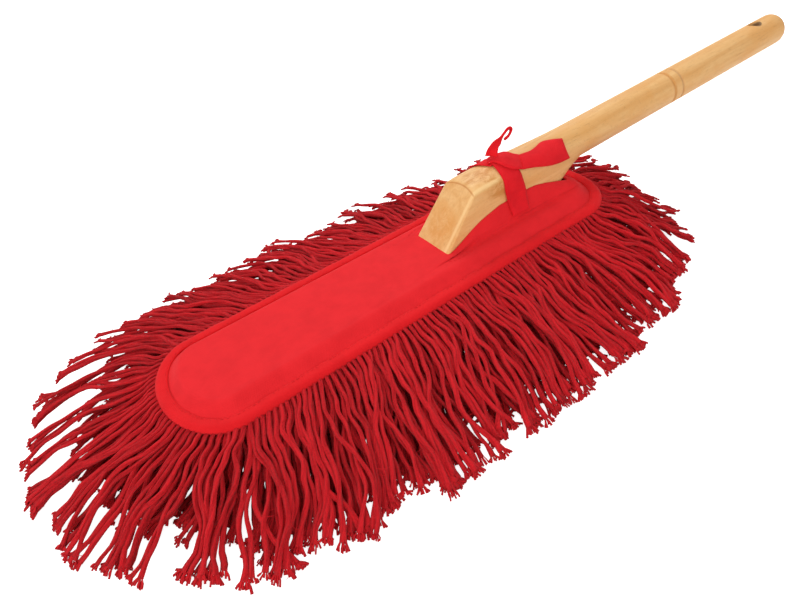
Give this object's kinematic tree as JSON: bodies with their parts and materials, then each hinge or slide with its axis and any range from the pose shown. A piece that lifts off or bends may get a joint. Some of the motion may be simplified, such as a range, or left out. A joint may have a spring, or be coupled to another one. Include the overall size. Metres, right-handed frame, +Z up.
{
  "type": "car duster",
  "caption": "Long oval mop head of cotton yarn strands on a cloth cover tied to a flat-footed turned wooden handle, for dusting car bodywork.",
  "frame": {"origin": "middle of the overall length and width on the surface the yarn rests on", "axes": "+X along the duster from the mop towards the handle's end, +Z up, -Y the side whose tie tail hangs down"},
  "size_m": [0.672, 0.261, 0.098],
  "materials": {
    "wood": "smooth waxed light wood",
    "plywood": "sanded plywood",
    "steel": "zinc-plated screws",
    "cover_cloth": "matt woven cotton",
    "binding_cloth": "matt cotton binding tape",
    "tie_tape": "matt twill tape",
    "yarn": "soft twisted cotton yarn"
  },
  "bodies": {
    "duster": {"handle": "wood", "head_board": "plywood", "board_screw_front": "steel", "board_screw_middle": "steel", "board_screw_rear": "steel", "cover_top": "cover_cloth", "cover_backing": "cover_cloth", "slit_facing": "cover_cloth", "edge_binding": "binding_cloth", "tie_near_leg": "tie_tape", "tie_far_leg": "tie_tape", "tie_knot": "tie_tape", "upper_fringe_front": "yarn", "upper_fringe_near": "yarn", "upper_fringe_rear": "yarn", "upper_fringe_far": "yarn", "lower_fringe_front": "yarn", "lower_fringe_near": "yarn", "lower_fringe_rear": "yarn", "lower_fringe_far": "yarn", "under_fringe_near": "yarn", "under_fringe_far": "yarn"},
    "long_tail": {"tie_long_tail": "tie_tape"},
    "curled_tail": {"tie_curled_tail": "tie_tape"}
  },
  "joints": [
    {"name": "long_tail_lift", "type": "hinge", "parent": "duster", "child": "long_tail", "pos_m": [0.0321, 0, 0.084], "axis": [0, -1, 0], "range_deg": [0, 70]},
    {"name": "curled_tail_lift", "type": "hinge", "parent": "duster", "child": "curled_tail", "pos_m": [0.014, 0, 0.0874], "axis": [0, -1, 0], "range_deg": [0, 45]}
  ]
}
